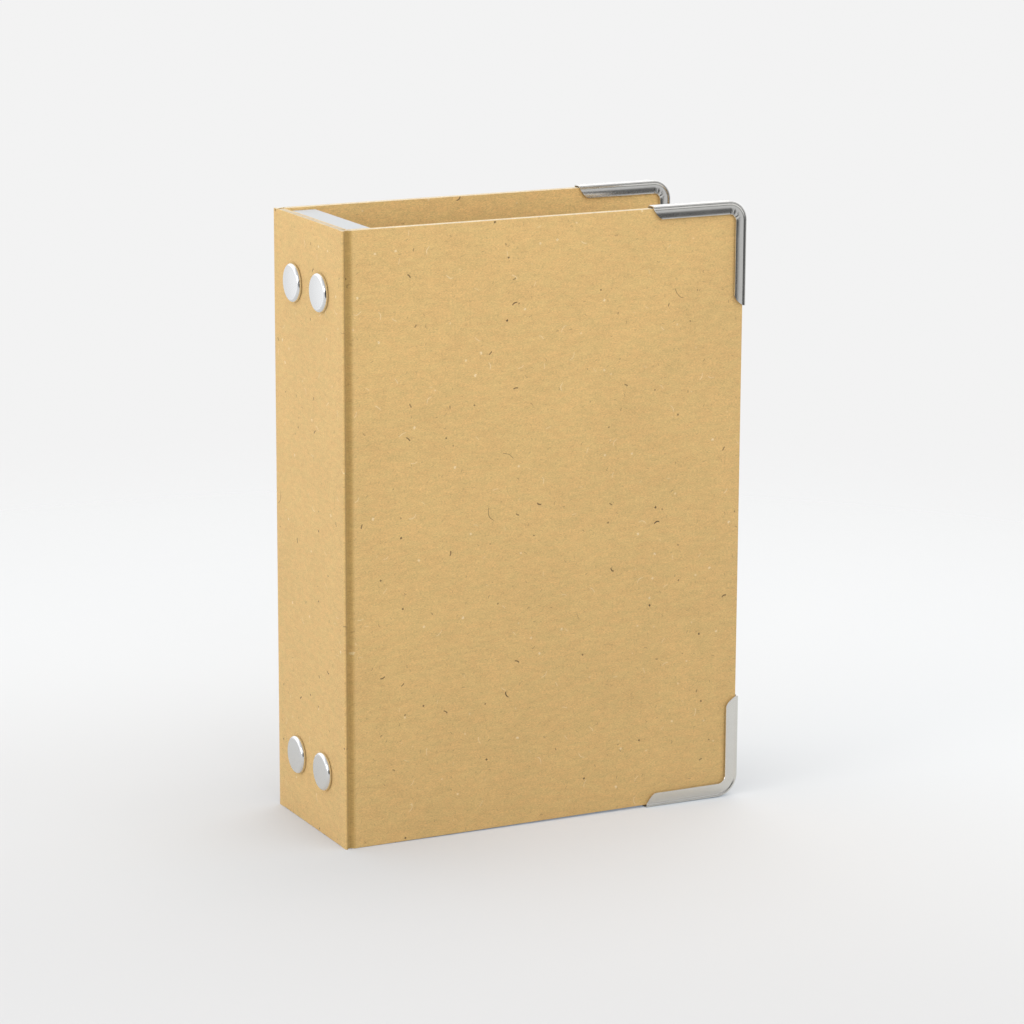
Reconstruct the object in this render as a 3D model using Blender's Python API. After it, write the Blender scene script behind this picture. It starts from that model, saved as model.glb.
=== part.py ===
"""Kraft board scrapbook album with metal cover corners, a riveted spine and booklets on steel rods.

Units are metres, +Z is up. The album stands on its lower edges: the origin is under the middle of
its outer box, +X runs from the spine to the fore-edge, and the front cover faces -Y.

All meshes are drawn in "case" coordinates: x = 0 is the spine's outer face, y = 0 the front cover's
outer face and z = 0 the lower edge of the boards. Each body has an empty on its joint's axis, and
its pieces hang under that empty.
"""

from math import cos, pi, radians, sin, sqrt

import bmesh
import bpy
from mathutils import Matrix, Vector

MM = 0.001

# Driving dimensions of the case
COVER_WIDTH = 100 * MM      # spine's outer face to the fore-edge of the boards
COVER_HEIGHT = 140 * MM
THICKNESS = 38 * MM         # outer face to outer face of the two covers
SHEET = 2 * MM              # whole thickness of the kraft-faced board
FACING = 0.25 * MM          # kraft paper on each side of the board
GLUE_LINE = 0.05 * MM       # gap between a facing and the core

# Hinge creases beside the spine
HINGE_X = 1.1 * MM
HINGE_Y = 0.9 * MM
PANEL_START = 2.3 * MM      # where the flat of a cover starts
CREASE_LINE = 0.5 * MM      # depth of the crease under the outer face
CREASE_WALL = 0.8 * MM      # board left in the crease
CREASE_LEFT = 0.35 * MM     # crease line's own inset from the spine's face
CREASE_BEND_R = 0.8 * MM
CREASE_INNER_R = 0.2 * MM

# Metal corners
BOARD_CORNER_R = 4.0 * MM
LEG = 23.6 * MM
CAP_METAL = 0.4 * MM
CAP_OUT = 0.6 * MM          # metal beyond the edge of the board
CAP_PROUD = 0.5 * MM        # metal in front of the face of the board
CAP_OVERLAP = 2.4 * MM      # flange on the face of the board
CAP_END_R = 2.3 * MM        # rounding of the flange at the end of a leg
CAP_END_FLANGE = 0.15 * MM  # flange left at the very end
CAP_BEAD_R = 0.35 * MM      # rounding of the metal's outer edges

# Rod holders and their rivets
HOLDER_RECESS = 0.6 * MM
HOLDER_BLOCK = 6.4 * MM     # height of the block with the rod holes
HOLDER_DEPTH = 7.2 * MM
HOLDER_PLATE = 1.0 * MM     # thickness of the back plate that the rivets clamp
HOLDER_HEIGHT = 24 * MM
HOLDER_FILLET = 1.0 * MM
HOLDER_CHAMFER = 0.3 * MM
RIVET_INSET = 15.2 * MM     # from the board's end to the rivets
RIVET_HALF_SPACING = 7.3 * MM
RIVET_CAP_R = 4.4 * MM
RIVET_CAP_H = 1.6 * MM
RIVET_RIM = 0.35 * MM
RIVET_POST_R = 1.15 * MM
RIVET_BACK_R = 3.9 * MM
RIVET_BACK_H = 1.1 * MM
RIVET_POST_TIP = 0.2 * MM   # chamfer at the post's end
RIVET_POST_REACH = 0.75 * MM
RIVET_SOCKET_REACH = 0.8 * MM
FIT_GAP = 0.1 * MM
SPARE = 1 * MM              # length of a cutter past the face it opens

# Rods and booklets
ROD_COUNT = 5
ROD_PITCH = 6 * MM
ROD_R = 0.75 * MM
ROD_TIP = 0.2 * MM          # chamfer at the rod's ends
ROD_X = 6.8 * MM
ROD_HOLE_R = 0.85 * MM
LOWER_HOLE = 2.0 * MM       # depth of the blind holes in the lower holder
UPPER_HOLE = 5.4 * MM       # deep enough for a rod to be pushed up and freed
ROD_IN_UPPER = 2.9 * MM
BOOKLET_HEIGHT = 124 * MM
BOOKLET_REACH = 87 * MM     # rod axis to the booklet's fore-edge
BOOKLET_HALF = 1.8 * MM     # half the booklet's thickness over its flat
FOLD_R = 2.3 * MM           # outer radius of the fold round the rod
FOLD_TAPER = 7.2 * MM       # length over which the fold runs into the flat
CARD = 0.25 * MM
PAGE_INSET = 0.5 * MM
SPREAD_GAP = 0.15 * MM      # half the gap in the booklet's middle opening

X_LOW = -RIVET_CAP_H - GLUE_LINE
X_HIGH = COVER_WIDTH + CAP_OUT
ORIGIN = Vector(((X_LOW + X_HIGH) / 2, THICKNESS / 2, -CAP_OUT))

COLOURS = {
    "kraft_face": ((0.62, 0.42, 0.19), 0.85, 0.0),
    "board_core": ((0.66, 0.50, 0.29), 0.9, 0.0),
    "crease": ((0.42, 0.27, 0.11), 0.85, 0.0),
    "nickel": ((0.72, 0.72, 0.70), 0.25, 1.0),
    "holder_plastic": ((0.82, 0.83, 0.84), 0.45, 0.0),
    "rod_steel": ((0.60, 0.60, 0.61), 0.3, 1.0),
    "booklet_card": ((0.30, 0.21, 0.12), 0.8, 0.0),
    "booklet_pages": ((0.85, 0.82, 0.74), 0.8, 0.0),
}


def clear_scene():
    for obj in list(bpy.data.objects):
        bpy.data.objects.remove(obj, do_unlink=True)


def make_material(name):
    colour, roughness, metallic = COLOURS[name]
    material = bpy.data.materials.new(name)
    material.use_nodes = True
    shader = material.node_tree.nodes["Principled BSDF"]
    shader.inputs["Base Color"].default_value = (*colour, 1.0)
    shader.inputs["Roughness"].default_value = roughness
    shader.inputs["Metallic"].default_value = metallic
    return material


def add_pivot(name, case_point):
    """An empty on a joint's axis; returns it with the case point it stands on."""
    pivot = bpy.data.objects.new(name, None)
    bpy.context.collection.objects.link(pivot)
    pivot.empty_display_size = 10 * MM
    pivot.location = Vector(case_point) - ORIGIN
    return pivot, Vector(case_point)


def add_piece(name, bm, body, material, smooth=False):
    """Turn a mesh drawn in case coordinates into a named object under its body's empty."""
    pivot, case_point = body
    bmesh.ops.remove_doubles(bm, verts=bm.verts, dist=1e-7)
    bmesh.ops.recalc_face_normals(bm, faces=bm.faces)
    bmesh.ops.translate(bm, verts=bm.verts, vec=-case_point)
    mesh = bpy.data.meshes.new(name)
    bm.to_mesh(mesh)
    bm.free()
    mesh.materials.append(material)
    if smooth:
        mesh.shade_smooth()
        mesh.set_sharp_from_angle(angle=radians(40))
    obj = bpy.data.objects.new(name, mesh)
    bpy.context.collection.objects.link(obj)
    obj.parent = pivot
    return obj


def arc(centre, radius, start, end, steps):
    """Points on an arc, from the start angle to the end angle, both in degrees."""
    angles = [radians(start + (end - start) * i / steps) for i in range(steps + 1)]
    return [(centre[0] + radius * cos(a), centre[1] + radius * sin(a)) for a in angles]


def extrude_outline(outline, to_point, depth):
    """Extrude a flat outline: to_point turns its two numbers into a point, depth is a vector."""
    bm = bmesh.new()
    face = bm.faces.new([bm.verts.new(to_point(u, v)) for u, v in outline])
    grown = bmesh.ops.extrude_face_region(bm, geom=[face])
    moved = [item for item in grown["geom"] if isinstance(item, bmesh.types.BMVert)]
    bmesh.ops.translate(bm, verts=moved, vec=Vector(depth))
    return bm


def upright(outline, low, high):
    """Extrude an outline in x and y from z = low to z = high."""
    return extrude_outline(outline, lambda x, y: (x, y, low), (0, 0, high - low))


def block(x, y, z):
    """A box from its ranges along the three axes."""
    corners = [(x[0], y[0]), (x[1], y[0]), (x[1], y[1]), (x[0], y[1])]
    return upright(corners, z[0], z[1])


def to_rear(bm):
    """Mirror a mesh of the front side to the rear side of the case."""
    for vert in bm.verts:
        vert.co.y = THICKNESS - vert.co.y
    return bm


def turned(profile, centre, steps):
    """Turn a profile of (radius, x) points about the line along +X through the centre."""
    bm = bmesh.new()
    verts = [bm.verts.new((x, centre[1] + radius, centre[2])) for radius, x in profile]
    edges = [bm.edges.new(pair) for pair in zip(verts, verts[1:])]
    bmesh.ops.spin(bm, geom=verts + edges, cent=centre, axis=(1, 0, 0), angle=2 * pi,
                   steps=steps, use_duplicate=False)
    bmesh.ops.remove_doubles(bm, verts=bm.verts, dist=1e-7)
    return bm


def cut(target, cutter):
    modifier = target.modifiers.new("holes", "BOOLEAN")
    modifier.operation = "DIFFERENCE"
    modifier.object = cutter


def add_cutter(name, bars, body):
    """One hidden cutter object of round bars, each (centre, axis letter, radius, length)."""
    bm = bmesh.new()
    for centre, axis, radius, length in bars:
        turn = Matrix.Rotation(radians(90), 4, "Y") if axis == "x" else Matrix.Identity(4)
        bmesh.ops.create_cone(bm, cap_ends=True, segments=16, radius1=radius, radius2=radius,
                              depth=length, matrix=Matrix.Translation(centre) @ turn)
    cutter = add_piece(name, bm, body, bpy.data.materials["nickel"])
    cutter.hide_render = True
    cutter.display_type = "WIRE"
    return cutter


# ---------------------------------------------------------------- covers


def cover_outline():
    """The cover's flat seen from the front: square at the crease, rounded at the fore-edge."""
    inner = BOARD_CORNER_R
    low = arc((COVER_WIDTH - inner, inner), inner, -90, 0, 5)
    high = arc((COVER_WIDTH - inner, COVER_HEIGHT - inner), inner, 0, 90, 5)
    return [(PANEL_START, 0.0), *low, *high, (PANEL_START, COVER_HEIGHT)]


def cover_layer(front, rear):
    """One layer of the front cover between two depths under its outer face."""
    return extrude_outline(cover_outline(), lambda x, z: (x, front, z), (0, rear - front, 0))


def add_cover(side, body, flip, materials):
    layers = [
        ("outer_kraft", 0.0, FACING, "kraft_face"),
        ("board", FACING + GLUE_LINE, SHEET - FACING - GLUE_LINE, "board_core"),
        ("inner_kraft", SHEET - FACING, SHEET, "kraft_face"),
    ]
    for layer, front, rear, finish in layers:
        bm = cover_layer(front, rear)
        if flip:
            to_rear(bm)
        add_piece(f"{side}_{layer}", bm, body, materials[finish])


# ---------------------------------------------------------------- metal corners


def cap_stations():
    """Points round the board's top fore-edge corner, with outward direction and overlap."""
    ease = [sqrt(1 - (1 - i / 4) ** 2) for i in range(5)]
    ends = [(CAP_END_R * i / 4, max(CAP_OVERLAP - CAP_END_R * (1 - e), CAP_END_FLANGE))
            for i, e in enumerate(ease)]
    top = [(Vector((COVER_WIDTH - LEG + s, COVER_HEIGHT)), Vector((0, 1)), w) for s, w in ends]
    middle = Vector((COVER_WIDTH - BOARD_CORNER_R, COVER_HEIGHT - BOARD_CORNER_R))
    bend = []
    for i in range(7):
        angle = radians(90 - 15 * i)
        out = Vector((cos(angle), sin(angle)))
        bend.append((middle + out * BOARD_CORNER_R, out, CAP_OVERLAP))
    side = [(Vector((COVER_WIDTH, COVER_HEIGHT - LEG + s)), Vector((1, 0)), w)
            for s, w in reversed(ends)]
    return top + bend + side


def cap_profile(overlap):
    """Closed U of sheet metal as (outward, depth) points, depth measured under the outer face."""
    web_in = CAP_OUT - CAP_METAL
    face, back = -CAP_PROUD, SHEET + CAP_PROUD
    bead_x = CAP_OUT - CAP_BEAD_R
    outside = arc((bead_x, face + CAP_BEAD_R), CAP_BEAD_R, -90, 0, 3)
    outside += arc((bead_x, back - CAP_BEAD_R), CAP_BEAD_R, 0, 90, 3)
    inside = [(-overlap, back - CAP_METAL), (web_in, back - CAP_METAL),
              (web_in, face + CAP_METAL), (-overlap, face + CAP_METAL)]
    return [(-overlap, face), *outside, (-overlap, back), *inside]


def corner_cap(bottom, flip):
    """A folded metal corner: the U profile carried round the corner of the board."""
    bm = bmesh.new()
    rings = []
    for edge_point, out, overlap in cap_stations():
        ring = []
        for outward, depth in cap_profile(overlap):
            spot = edge_point + out * outward
            ring.append(bm.verts.new((spot.x, depth, spot.y)))
        rings.append(ring)
    for near, far in zip(rings, rings[1:]):
        for i in range(len(near)):
            j = (i + 1) % len(near)
            bm.faces.new((near[i], near[j], far[j], far[i]))
    bm.faces.new(rings[0])
    bm.faces.new(rings[-1])
    if bottom:
        for vert in bm.verts:
            vert.co.z = COVER_HEIGHT - vert.co.z
    return to_rear(bm) if flip else bm


# ---------------------------------------------------------------- spine


def crease_outline():
    """The pressed hinge at a corner of the spine, an L that is thinner than the board."""
    low, high = CREASE_LINE, CREASE_LINE + CREASE_WALL
    left, right = CREASE_LEFT, CREASE_LEFT + CREASE_WALL
    outer = arc((left + CREASE_BEND_R, low + CREASE_BEND_R), CREASE_BEND_R, 180, 270, 4)
    inner = arc((right + CREASE_INNER_R, high + CREASE_INNER_R), CREASE_INNER_R, 270, 180, 2)
    spine_end = PANEL_START - GLUE_LINE
    tip = PANEL_START - 2 * FIT_GAP
    return [(left, spine_end), *outer, (tip, low), (tip, high), *inner, (right, spine_end)]


def post_bars():
    """Round bars where the rivets pass through the spine and the holders' back plates."""
    reach = 2 * (SHEET + HOLDER_PLATE) + 6 * SPARE
    radius = RIVET_POST_R + FIT_GAP
    return [(centre, "x", radius, reach) for centre in rivet_centres().values()]


def rivet_centres():
    heights = {"bottom": RIVET_INSET, "top": COVER_HEIGHT - RIVET_INSET}
    sides = {"front": -RIVET_HALF_SPACING, "rear": RIVET_HALF_SPACING}
    return {f"{level}_{side}": Vector((0, THICKNESS / 2 + offset, height))
            for level, height in heights.items() for side, offset in sides.items()}


def add_spine(body, materials):
    full = (0.0, COVER_HEIGHT)
    wide = (CREASE_LINE, THICKNESS - CREASE_LINE)
    flat = (PANEL_START, THICKNESS - PANEL_START)
    core_low = FACING + GLUE_LINE
    core_high = SHEET - FACING - GLUE_LINE
    posts = add_cutter("post_holes", post_bars(), body)
    pieces = [
        ("spine_outer_kraft", (0.0, FACING), wide, "kraft_face"),
        ("spine_board", (core_low, core_high), flat, "board_core"),
        ("spine_inner_kraft", (SHEET - FACING, SHEET), flat, "kraft_face"),
    ]
    for name, x_range, y_range, finish in pieces:
        piece = add_piece(name, block(x_range, y_range, full), body, materials[finish])
        cut(piece, posts)
    add_piece("front_crease", upright(crease_outline(), *full), body, materials["crease"])
    rear = to_rear(upright(crease_outline(), *full))
    add_piece("rear_crease", rear, body, materials["crease"])
    return posts


# ---------------------------------------------------------------- rod holders


def rod_lines():
    """Where the rods stand, front to rear."""
    first = THICKNESS / 2 - ROD_PITCH * (ROD_COUNT - 1) / 2
    return [(ROD_X, first + ROD_PITCH * i) for i in range(ROD_COUNT)]


def holder_outline():
    """Side view of the upper holder as (x, height): a block over a thin riveted back plate."""
    back = SHEET + GLUE_LINE
    top = COVER_HEIGHT - HOLDER_RECESS
    shelf = top - HOLDER_BLOCK
    plate = back + HOLDER_PLATE
    nose = back + HOLDER_DEPTH
    centre = (plate + HOLDER_FILLET, shelf - HOLDER_FILLET)
    fillet = arc(centre, HOLDER_FILLET, 90, 180, 3)
    return [(back, top - HOLDER_HEIGHT), (back, top), (nose - HOLDER_CHAMFER, top),
            (nose, top - HOLDER_CHAMFER), (nose, shelf), *fillet, (plate, top - HOLDER_HEIGHT)]


def add_holder(name, upper, body, posts, materials):
    low_side = PANEL_START
    width = THICKNESS - 2 * PANEL_START
    bm = extrude_outline(holder_outline(), lambda x, z: (x, low_side, z), (0, width, 0))
    shelf = COVER_HEIGHT - HOLDER_RECESS - HOLDER_BLOCK
    depth = UPPER_HOLE if upper else LOWER_HOLE
    if not upper:
        for vert in bm.verts:
            vert.co.z = COVER_HEIGHT - vert.co.z
        shelf = COVER_HEIGHT - shelf
    middle = shelf + (depth - SPARE) / 2 if upper else shelf - (depth - SPARE) / 2
    bars = [(Vector((x, y, middle)), "z", ROD_HOLE_R, depth + SPARE) for x, y in rod_lines()]
    holder = add_piece(name, bm, body, materials["holder_plastic"])
    cut(holder, posts)
    cut(holder, add_cutter(f"{name}_rod_holes", bars, body))


# ---------------------------------------------------------------- rivets


def cap_curve(radius, height, rim, steps=6):
    """A flattened dome as (radius, height) points from its crown to its rim."""
    points = []
    for i in range(steps + 1):
        share = i / steps
        lift = (1 - share ** 2.4) ** 0.5
        points.append((radius * share, rim + (height - rim) * lift))
    return points


def rivet_front():
    """Domed head outside the spine with its post, as (radius, x) points."""
    post_end = SHEET + GLUE_LINE + HOLDER_PLATE + RIVET_POST_REACH
    dome = [(r, -GLUE_LINE - h) for r, h in cap_curve(RIVET_CAP_R, RIVET_CAP_H, RIVET_RIM)]
    under = [(RIVET_CAP_R - FIT_GAP, -GLUE_LINE), (RIVET_POST_R, -GLUE_LINE)]
    post = [(RIVET_POST_R, post_end - RIVET_POST_TIP), (RIVET_POST_R - RIVET_POST_TIP, post_end),
            (0, post_end)]
    return dome + under + post


def rivet_back():
    """Low cap inside the spine that is pressed over the post, as (radius, x) points."""
    seat = SHEET + GLUE_LINE + HOLDER_PLATE + GLUE_LINE
    dome = [(r, seat + h) for r, h in cap_curve(RIVET_BACK_R, RIVET_BACK_H, RIVET_RIM, 4)]
    socket_end = SHEET + GLUE_LINE + HOLDER_PLATE + RIVET_SOCKET_REACH
    socket = [(RIVET_POST_R + GLUE_LINE, seat), (RIVET_POST_R + GLUE_LINE, socket_end),
              (0, socket_end)]
    return dome + [(RIVET_BACK_R, seat)] + socket


def add_rivets(body, materials):
    for place, centre in rivet_centres().items():
        head = turned(rivet_front(), centre, 20)
        add_piece(f"rivet_head_{place}", head, body, materials["nickel"], smooth=True)
        back = turned(rivet_back(), centre, 20)
        add_piece(f"rivet_back_{place}", back, body, materials["nickel"], smooth=True)


# ---------------------------------------------------------------- rods and booklets


def add_rod(number, x, y, materials):
    low = HOLDER_RECESS + HOLDER_BLOCK - LOWER_HOLE
    high = COVER_HEIGHT - HOLDER_RECESS - HOLDER_BLOCK + ROD_IN_UPPER
    body = add_pivot(f"rod_{number}_axis", (x, y, low))
    bm = bmesh.new()
    bmesh.ops.create_cone(bm, cap_ends=True, segments=14, radius1=ROD_R, radius2=ROD_R,
                          depth=high - low, matrix=Matrix.Translation((x, y, (low + high) / 2)))
    rims = [edge for edge in bm.edges if abs(edge.verts[0].co.z - edge.verts[1].co.z) < 1e-9]
    bmesh.ops.bevel(bm, geom=rims, offset=ROD_TIP, segments=1, affect="EDGES")
    add_piece(f"rod_{number}", bm, body, materials["rod_steel"], smooth=True)


def booklet_side(fold, flat, reach):
    """One skin of a booklet as points round the rod axis: near leg, fold, far leg."""
    round_part = arc((0, 0), fold, 90, 270, 8)
    return [(reach, flat), (FOLD_TAPER, flat), *round_part, (FOLD_TAPER, -flat), (reach, -flat)]


def add_booklet(number, x, y, materials):
    low = (COVER_HEIGHT - BOOKLET_HEIGHT) / 2
    high = low + BOOKLET_HEIGHT
    body = add_pivot(f"booklet_{number}_axis", (x, y, low))
    card = booklet_side(FOLD_R, BOOKLET_HALF, BOOKLET_REACH)
    card += reversed(booklet_side(FOLD_R - CARD, BOOKLET_HALF - CARD, BOOKLET_REACH))
    skin = CARD + GLUE_LINE
    reach = BOOKLET_REACH - PAGE_INSET
    pages = booklet_side(FOLD_R - skin, BOOKLET_HALF - skin, reach)
    pages += reversed(booklet_side(ROD_R + FIT_GAP, SPREAD_GAP, reach))
    for piece, outline, trim in (("card", card, 0.0), ("pages", pages, PAGE_INSET)):
        placed = [(x + u, y + v) for u, v in outline]
        bm = upright(placed, low + trim, high - trim)
        add_piece(f"booklet_{number}_{piece}", bm, body, materials[f"booklet_{piece}"])


def main():
    clear_scene()
    materials = {name: make_material(name) for name in COLOURS}
    spine = add_pivot("spine_frame", (0, 0, 0))
    front = add_pivot("front_hinge", (HINGE_X, HINGE_Y, 0))
    rear = add_pivot("rear_hinge", (HINGE_X, THICKNESS - HINGE_Y, 0))

    posts = add_spine(spine, materials)
    add_holder("top_rod_holder", True, spine, posts, materials)
    add_holder("bottom_rod_holder", False, spine, posts, materials)
    add_rivets(spine, materials)
    for side, body, flip in (("front", front, False), ("rear", rear, True)):
        add_cover(side, body, flip, materials)
        for level, bottom in (("top", False), ("bottom", True)):
            cap = corner_cap(bottom, flip)
            add_piece(f"{side}_{level}_corner", cap, body, materials["nickel"], smooth=True)
    for number, (x, y) in enumerate(rod_lines(), start=1):
        add_rod(number, x, y, materials)
        add_booklet(number, x, y, materials)


main()
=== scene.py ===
"""The looks of a kraft board album: pressed hinges, metal corners, riveted rod holders, booklets.

Units are metres. Lengths marked MM are millimetres. "Case" coordinates start at the spine's outer
face, the front cover's outer face and the lower edge of the boards; place() turns them into the
frame's own coordinates.
"""

import random
from math import atan2, cos, pi, radians, sin, sqrt

import bmesh
import bpy
from mathutils import Matrix, Vector


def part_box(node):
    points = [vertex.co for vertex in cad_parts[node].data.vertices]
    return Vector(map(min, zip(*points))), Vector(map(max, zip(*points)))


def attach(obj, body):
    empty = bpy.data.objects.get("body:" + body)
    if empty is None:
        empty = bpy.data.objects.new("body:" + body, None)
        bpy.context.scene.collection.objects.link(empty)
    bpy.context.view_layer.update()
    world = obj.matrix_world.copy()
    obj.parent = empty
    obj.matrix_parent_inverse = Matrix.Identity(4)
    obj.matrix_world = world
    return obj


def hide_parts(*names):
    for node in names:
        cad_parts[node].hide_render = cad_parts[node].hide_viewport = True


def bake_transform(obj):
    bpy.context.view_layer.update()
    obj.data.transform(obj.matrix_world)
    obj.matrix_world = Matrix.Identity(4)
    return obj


MM = 0.001
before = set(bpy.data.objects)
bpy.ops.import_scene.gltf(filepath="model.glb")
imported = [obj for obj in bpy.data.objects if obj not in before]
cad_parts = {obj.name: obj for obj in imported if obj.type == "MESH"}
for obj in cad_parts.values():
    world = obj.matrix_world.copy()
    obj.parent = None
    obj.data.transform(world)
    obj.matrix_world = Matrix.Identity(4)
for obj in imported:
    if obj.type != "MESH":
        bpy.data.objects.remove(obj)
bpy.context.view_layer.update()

# The case, read from the frame
SPINE_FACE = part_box("spine_outer_kraft")[0].x
FRONT_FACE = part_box("front_outer_kraft")[0].y
REAR_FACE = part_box("rear_outer_kraft")[1].y
BOARD_LOW, BOARD_HIGH = (corner.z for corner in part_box("front_board"))
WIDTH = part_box("front_board")[1].x - SPINE_FACE
HEIGHT = BOARD_HIGH - BOARD_LOW
THICKNESS = REAR_FACE - FRONT_FACE
PANEL_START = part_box("front_board")[0].x - SPINE_FACE
SHEET = 2.0 * MM            # whole thickness of the board
FACING = 0.28 * MM          # kraft paper on each side of it
BOARD_CORNER = 4.0 * MM     # radius of the board under a metal corner
RIVET_HOLE = 1.25 * MM      # radius of the holes for the rivets' posts
DRILL_LENGTH = 12 * MM      # long enough to cut those holes right through
SAME = 0.001 * MM           # places closer than this are one place


def place(x, y, z):
    """A point in case coordinates, in metres, as a point of the frame."""
    return Vector((SPINE_FACE + x, FRONT_FACE + y, BOARD_LOW + z))


# ------------ modelling helpers


def deselect():
    if bpy.context.object and bpy.context.object.mode != "OBJECT":
        bpy.ops.object.mode_set(mode="OBJECT")
    bpy.ops.object.select_all(action="DESELECT")


def only(piece):
    """Make one object the selected and active one."""
    deselect()
    piece.select_set(True)
    bpy.context.view_layer.objects.active = piece


def settle(name):
    """Name the object just added and move its place into its mesh."""
    piece = bpy.context.object
    piece.name = name
    piece.data.name = name
    bpy.ops.object.transform_apply(location=True, rotation=True, scale=True)
    return piece


def add_block(name, low, high):
    """A cube primitive stretched between two corners."""
    deselect()
    size = high - low
    bpy.ops.mesh.primitive_cube_add(size=1, location=(low + high) / 2)
    bpy.context.object.scale = size
    return settle(name)


def add_face(name, points):
    """A filled circle primitive whose corners are drawn out to an outline of 3-D points."""
    deselect()
    bpy.ops.mesh.primitive_circle_add(vertices=len(points), radius=MM, fill_type="NGON")
    piece = settle(name)
    for vert, point in zip(piece.data.vertices, points):
        vert.co = point
    return piece


def add_rod_shape(name, centre, radius, depth, axis="z", corners=32):
    deselect()
    turn = (0, radians(90), 0) if axis == "x" else (0, 0, 0)
    bpy.ops.mesh.primitive_cylinder_add(vertices=corners, radius=radius, depth=depth,
                                        location=centre, rotation=turn)
    return settle(name)


def edit(piece):
    only(piece)
    bpy.ops.object.mode_set(mode="EDIT")
    bpy.ops.mesh.select_mode(type="VERT")


def done():
    bpy.ops.object.mode_set(mode="OBJECT")


def pick(kind, test):
    """In edit mode, select only the edges or faces that pass a test of middle and direction."""
    bpy.ops.mesh.select_mode(type={"edges": "EDGE", "faces": "FACE"}[kind])
    mesh = bmesh.from_edit_mesh(bpy.context.object.data)
    for group in (mesh.faces, mesh.edges, mesh.verts):
        for item in group:
            item.select = False
    for item in getattr(mesh, kind):
        if kind == "edges":
            first, second = (vert.co for vert in item.verts)
            chosen = test((first + second) / 2, (second - first).normalized())
        else:
            chosen = test(item.calc_center_median(), item.normal)
        if chosen:
            item.select_set(True)
    mesh.select_flush_mode()
    bmesh.update_edit_mesh(bpy.context.object.data)


def pull(vector):
    """Extrude what is selected along a vector."""
    bpy.ops.mesh.extrude_region_move(TRANSFORM_OT_translate={"value": vector})


def bevel(width, steps):
    bpy.ops.mesh.bevel(offset=width, segments=steps, affect="EDGES")


def select_all():
    bpy.ops.mesh.select_all(action="SELECT")


def heal():
    """Merge doubles and turn all faces outwards."""
    select_all()
    bpy.ops.mesh.remove_doubles(threshold=0.5e-6)
    bpy.ops.mesh.normals_make_consistent(inside=False)


def apply(piece, kind, **settings):
    only(piece)
    modifier = piece.modifiers.new(kind.title(), kind)
    for key, value in settings.items():
        setattr(modifier, key, value)
    bpy.ops.object.modifier_apply(modifier=modifier.name)


def soften(piece, angle=35):
    only(piece)
    bpy.ops.object.shade_smooth_by_angle(angle=radians(angle))


def round_edges(piece, width, steps):
    apply(piece, "BEVEL", width=width, segments=steps, limit_method="ANGLE",
          angle_limit=radians(40), harden_normals=False)


def drill(piece, bars, axis):
    """Cut round holes, each (centre, radius, depth)."""
    for centre, radius, depth in bars:
        cutter = add_rod_shape("cutter", centre, radius, depth, axis)
        apply(piece, "BOOLEAN", object=cutter, operation="DIFFERENCE", solver="EXACT")
        bpy.data.objects.remove(cutter, do_unlink=True)


def arc(centre, radius, start, end, steps):
    """Points on an arc from the start angle to the end angle, both in degrees."""
    turns = [radians(start + (end - start) * i / steps) for i in range(steps + 1)]
    return [(centre[0] + radius * cos(turn), centre[1] + radius * sin(turn)) for turn in turns]


def mirrored(y, side):
    """A depth under the front cover's face, or the same depth under the rear cover's."""
    return THICKNESS - y if side == "rear" else y


def finish_piece(piece, finish, body, node):
    """Give a piece its material, its body and the CAD node it stands for."""
    piece.data.materials.clear()
    piece.data.materials.append(finish)
    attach(piece, body)
    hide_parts(node)


# ------------ node helpers


def add_node(tree, kind, inputs=None, **settings):
    """Add a shader node; inputs maps a socket to a value or to another node's socket."""
    node = tree.nodes.new(f"ShaderNode{kind}")
    for key, value in settings.items():
        setattr(node, key, value)
    for key, value in (inputs or {}).items():
        if isinstance(value, bpy.types.NodeSocket):
            tree.links.new(value, node.inputs[key])
        else:
            node.inputs[key].default_value = value
    return node


def calc(tree, operation, first, second=0.0, third=0.0, clamp=False):
    values = {0: first, 1: second, 2: third}
    return add_node(tree, "Math", values, operation=operation, use_clamp=clamp).outputs[0]


def plus(tree, first, second, clamp=False):
    return calc(tree, "ADD", first, second, clamp=clamp)


def minus(tree, first, second):
    return calc(tree, "SUBTRACT", first, second)


def times(tree, first, second, clamp=False):
    return calc(tree, "MULTIPLY", first, second, clamp=clamp)


def vector_calc(tree, operation, first, second=(0.0, 0.0, 0.0)):
    node = add_node(tree, "VectorMath", {0: first, 1: second}, operation=operation)
    return node.outputs["Value" if operation in ("DOT_PRODUCT", "LENGTH") else "Vector"]


def blend_colour(tree, factor, low, high, mode="MIX"):
    values = {0: factor, 6: low, 7: high}
    node = add_node(tree, "Mix", values, data_type="RGBA", blend_type=mode)
    return node.outputs[2]


def scaled(tree, vector, factor):
    """A vector or colour times a number."""
    node = add_node(tree, "VectorMath", {0: vector, "Scale": factor}, operation="SCALE")
    return node.outputs["Vector"]


def smooth_range(tree, value, low, high):
    """0 at the first value and 1 at the second, with a soft start and a soft end."""
    values = {"Value": value, "From Min": low, "From Max": high}
    return add_node(tree, "MapRange", values, interpolation_type="SMOOTHSTEP").outputs["Result"]


def centred(tree, value, amount, middle=0.5):
    """A texture's value moved to swing about zero and multiplied by an amount."""
    return times(tree, minus(tree, value, middle), amount)


def noise(tree, vector, scale, detail, **more):
    """A noise texture's value; more holds further sockets, such as Roughness."""
    inputs = {"Vector": vector, "Scale": scale, "Detail": detail, **more}
    return add_node(tree, "TexNoise", inputs).outputs[0]


def object_mm(tree):
    """Object coordinates in millimetres."""
    return scaled(tree, add_node(tree, "TexCoord").outputs["Object"], 1000.0)


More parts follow.
